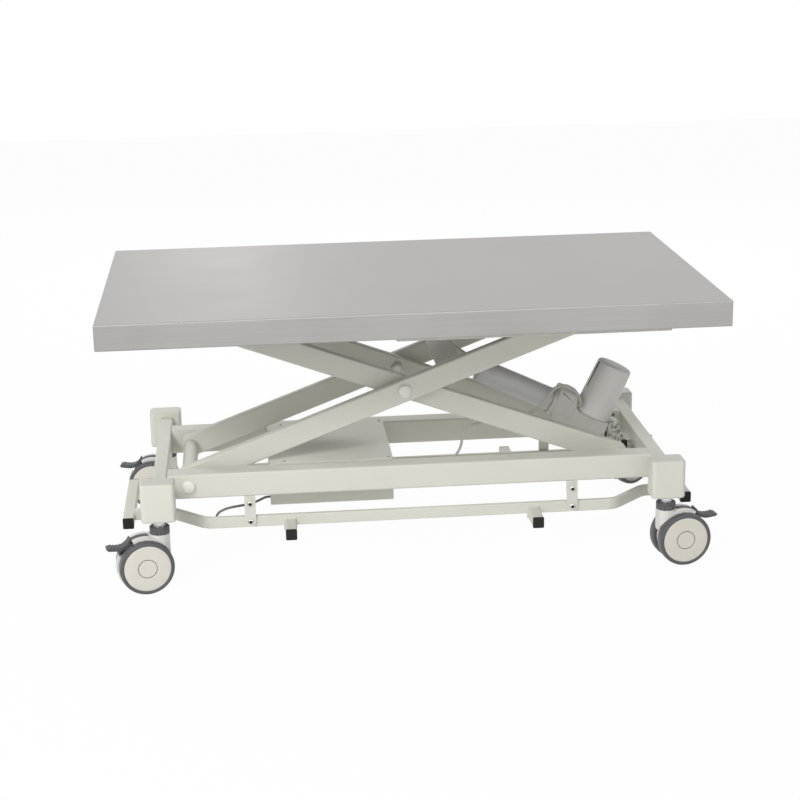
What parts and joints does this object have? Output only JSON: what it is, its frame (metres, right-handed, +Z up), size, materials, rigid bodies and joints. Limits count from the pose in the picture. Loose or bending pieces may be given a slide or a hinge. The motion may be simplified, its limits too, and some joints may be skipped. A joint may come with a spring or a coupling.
{
  "type": "veterinary exam table",
  "caption": "Electric scissor-lift veterinary exam table with a flat stainless pan top, painted frame, foot-bar switch frame, linear actuator and twin-wheel braked casters.",
  "frame": {"origin": "centre of the footprint on the floor, midway between the ends and sides of the top", "axes": "+X along the table towards the actuator end, +Y towards the rear long side, +Z up from the floor"},
  "size_m": [1.3302, 0.768, 0.6119],
  "materials": {
    "painted_frame": "satin off-white powder coat on steel tube, bar and channel",
    "stainless_top": "fine brushed stainless sheet",
    "zinc_plate": "zinc-plated steel",
    "polished_rod": "ground and polished steel",
    "drawn_aluminium": "satin drawn tube",
    "white_nylon": "turned nylon",
    "actuator_plastic": "moulded pale grey plastic",
    "caster_hub": "moulded off-white plastic",
    "wheel_rubber": "moulded grey rubber",
    "pedal_plastic": "moulded dark grey plastic",
    "pale_cable": "extruded pale cable sheath",
    "dark_cable": "extruded dark cable sheath"
  },
  "bodies": {
    "base": {"front_rail": "painted_frame", "rear_rail": "painted_frame", "left_cross_rail": "painted_frame", "right_cross_rail": "painted_frame", "front_left_post": "painted_frame", "front_right_post": "painted_frame", "rear_left_post": "painted_frame", "rear_right_post": "painted_frame", "control_box": "painted_frame", "control_box_lid": "painted_frame", "lower_pivot_shaft": "white_nylon", "actuator_bracket": "zinc_plate", "actuator_cable": "pale_cable", "foot_switch_cable": "dark_cable"},
    "outer_arms": {"front_outer_arm": "painted_frame", "rear_outer_arm": "painted_frame", "outer_arm_pivot_tube": "painted_frame", "lift_head": "painted_frame", "front_centre_bolt": "white_nylon", "rear_centre_bolt": "white_nylon"},
    "inner_arms": {"front_inner_arm": "painted_frame", "rear_inner_arm": "painted_frame", "inner_arm_pivot_tube": "painted_frame"},
    "top": {"top_pan": "stainless_top", "left_cross_member": "painted_frame", "middle_cross_member": "painted_frame", "right_cross_member": "painted_frame", "upper_pivot_shaft": "zinc_plate", "front_track": "painted_frame", "rear_track": "painted_frame"},
    "actuator": {"gear_housing": "actuator_plastic", "motor_cover": "actuator_plastic", "outer_tube": "drawn_aluminium"},
    "rod": {"push_rod": "polished_rod"},
    "foot_frame": {"front_foot_bar": "painted_frame", "rear_foot_bar": "painted_frame", "left_foot_end_tube": "painted_frame", "right_foot_end_tube": "painted_frame"},
    "front_upper_roller": {"front_upper_roller": "white_nylon"},
    "front_lower_roller": {"front_lower_roller": "white_nylon"},
    "rear_upper_roller": {"rear_upper_roller": "white_nylon"},
    "rear_lower_roller": {"rear_lower_roller": "white_nylon"},
    "front_left_link": {"front_left_link": "painted_frame"},
    "front_right_link": {"front_right_link": "painted_frame"},
    "rear_left_link": {"rear_left_link": "painted_frame"},
    "rear_right_link": {"rear_right_link": "painted_frame"},
    "front_left_caster": {"front_left_caster_housing": "caster_hub"},
    "front_left_wheel_set": {"front_left_wheels": "wheel_rubber"},
    "front_left_brake": {"front_left_brake_pedal": "pedal_plastic"},
    "front_right_caster": {"front_right_caster_housing": "caster_hub"},
    "front_right_wheel_set": {"front_right_wheels": "wheel_rubber"},
    "front_right_brake": {"front_right_brake_pedal": "pedal_plastic"},
    "rear_left_caster": {"rear_left_caster_housing": "caster_hub"},
    "rear_left_wheel_set": {"rear_left_wheels": "wheel_rubber"},
    "rear_left_brake": {"rear_left_brake_pedal": "pedal_plastic"},
    "rear_right_caster": {"rear_right_caster_housing": "caster_hub"},
    "rear_right_wheel_set": {"rear_right_wheels": "wheel_rubber"},
    "rear_right_brake": {"rear_right_brake_pedal": "pedal_plastic"}
  },
  "joints": [
    {"name": "lift", "type": "hinge", "parent": "base", "child": "outer_arms", "pos_m": [-0.4845, 0, 0.2005], "axis": [0, -1, 0], "range_deg": [-1.5, 14.5]},
    {"name": "scissor_fold", "type": "hinge", "parent": "outer_arms", "child": "inner_arms", "pos_m": [-0.00602, 0, 0.37702], "axis": [0, -1, 0], "range_deg": [-29.2, 3.2]},
    {"name": "top_level", "type": "hinge", "parent": "inner_arms", "child": "top", "pos_m": [-0.42446, 0, 0.53139], "axis": [0, -1, 0], "range_deg": [-1.6, 14.6]},
    {"name": "actuator_swing", "type": "hinge", "parent": "base", "child": "actuator", "pos_m": [0.482, 0, 0.2375], "axis": [0, -1, 0], "range_deg": [-11.8, 1.3]},
    {"name": "rod_stroke", "type": "slide", "parent": "actuator", "child": "rod", "axis": [-0.9033, 0, 0.429], "range_m": [-0.0138, 0.1322]},
    {"name": "front_upper_roller_spin", "type": "hinge", "parent": "outer_arms", "child": "front_upper_roller", "pos_m": [0.41241, 0, 0.53139], "axis": [0, -1, 0], "continuous": true},
    {"name": "front_lower_roller_spin", "type": "hinge", "parent": "inner_arms", "child": "front_lower_roller", "pos_m": [0.47246, 0, 0.2005], "axis": [0, -1, 0], "continuous": true},
    {"name": "rear_upper_roller_spin", "type": "hinge", "parent": "outer_arms", "child": "rear_upper_roller", "pos_m": [0.41241, 0, 0.53139], "axis": [0, -1, 0], "continuous": true},
    {"name": "rear_lower_roller_spin", "type": "hinge", "parent": "inner_arms", "child": "rear_lower_roller", "pos_m": [0.47246, 0, 0.2005], "axis": [0, -1, 0], "continuous": true},
    {"name": "front_left_link_swing", "type": "hinge", "parent": "base", "child": "front_left_link", "pos_m": [-0.354, -0.1913, 0.156], "axis": [0, -1, 0], "range_deg": [-7, 7], "stiffness_Nm_per_rad": 40},
    {"name": "front_right_link_swing", "type": "hinge", "parent": "base", "child": "front_right_link", "pos_m": [0.354, -0.1913, 0.156], "axis": [0, -1, 0], "range_deg": [-7.1, 7.1]},
    {"name": "rear_left_link_swing", "type": "hinge", "parent": "base", "child": "rear_left_link", "pos_m": [-0.354, 0.1913, 0.156], "axis": [0, -1, 0], "range_deg": [-7.1, 7.1]},
    {"name": "rear_right_link_swing", "type": "hinge", "parent": "base", "child": "rear_right_link", "pos_m": [0.354, 0.1913, 0.156], "axis": [0, -1, 0], "range_deg": [-7.1, 7.1]},
    {"name": "foot_frame_hang", "type": "hinge", "parent": "front_left_link", "child": "foot_frame", "pos_m": [-0.354, -0.1913, 0.115], "axis": [0, -1, 0], "range_deg": [-7.1, 7.1]},
    {"name": "front_left_swivel", "type": "hinge", "parent": "base", "child": "front_left_caster", "pos_m": [-0.548, -0.2595, 0.1365], "axis": [0, 0, 1], "continuous": true},
    {"name": "front_left_roll", "type": "hinge", "parent": "front_left_caster", "child": "front_left_wheel_set", "pos_m": [-0.58213, -0.26632, 0.0585], "axis": [0.1959, -0.9806, 0], "continuous": true},
    {"name": "front_left_brake_press", "type": "hinge", "parent": "front_left_caster", "child": "front_left_brake", "pos_m": [-0.57448, -0.26479, 0.112], "axis": [0.1959, -0.9806, 0], "range_deg": [0, 4]},
    {"name": "front_right_swivel", "type": "hinge", "parent": "base", "child": "front_right_caster", "pos_m": [0.548, -0.2595, 0.1365], "axis": [0, 0, 1], "continuous": true},
    {"name": "front_right_roll", "type": "hinge", "parent": "front_right_caster", "child": "front_right_wheel_set", "pos_m": [0.58248, -0.25478, 0.0585], "axis": [-0.1357, 0.9907, 0], "continuous": true},
    {"name": "front_right_brake_press", "type": "hinge", "parent": "front_right_caster", "child": "front_right_brake", "pos_m": [0.57475, -0.25584, 0.112], "axis": [-0.1357, 0.9907, 0], "range_deg": [0, 4]},
    {"name": "rear_left_swivel", "type": "hinge", "parent": "base", "child": "rear_left_caster", "pos_m": [-0.548, 0.285, 0.1365], "axis": [0, 0, 1], "continuous": true},
    {"name": "rear_left_roll", "type": "hinge", "parent": "rear_left_caster", "child": "rear_left_wheel_set", "pos_m": [-0.58258, 0.28894, 0.0585], "axis": [-0.1132, -0.9936, 0], "continuous": true},
    {"name": "rear_left_brake_press", "type": "hinge", "parent": "rear_left_caster", "child": "rear_left_brake", "pos_m": [-0.57483, 0.28806, 0.112], "axis": [-0.1132, -0.9936, 0], "range_deg": [0, 4]},
    {"name": "rear_right_swivel", "type": "hinge", "parent": "base", "child": "rear_right_caster", "pos_m": [0.548, 0.285, 0.1365], "axis": [0, 0, 1], "continuous": true},
    {"name": "rear_right_roll", "type": "hinge", "parent": "rear_right_caster", "child": "rear_right_wheel_set", "pos_m": [0.57751, 0.30344, 0.0585], "axis": [-0.5299, 0.848, 0], "continuous": true},
    {"name": "rear_right_brake_press", "type": "hinge", "parent": "rear_right_caster", "child": "rear_right_brake", "pos_m": [0.5709, 0.29931, 0.112], "axis": [-0.5299, 0.848, 0], "range_deg": [0, 4]}
  ],
  "couplings": [
    {"joint": "scissor_fold", "follows": "lift", "ratio": -2},
    {"joint": "top_level", "follows": "lift", "ratio": 1},
    {"joint": "actuator_swing", "follows": "lift", "ratio": -0.8047},
    {"joint": "rod_stroke", "follows": "lift", "m_per_rad": 0.52188},
    {"joint": "front_right_link_swing", "follows": "front_left_link_swing", "ratio": 1},
    {"joint": "rear_left_link_swing", "follows": "front_left_link_swing", "ratio": 1},
    {"joint": "rear_right_link_swing", "follows": "front_left_link_swing", "ratio": 1},
    {"joint": "foot_frame_hang", "follows": "front_left_link_swing", "ratio": -1}
  ]
}
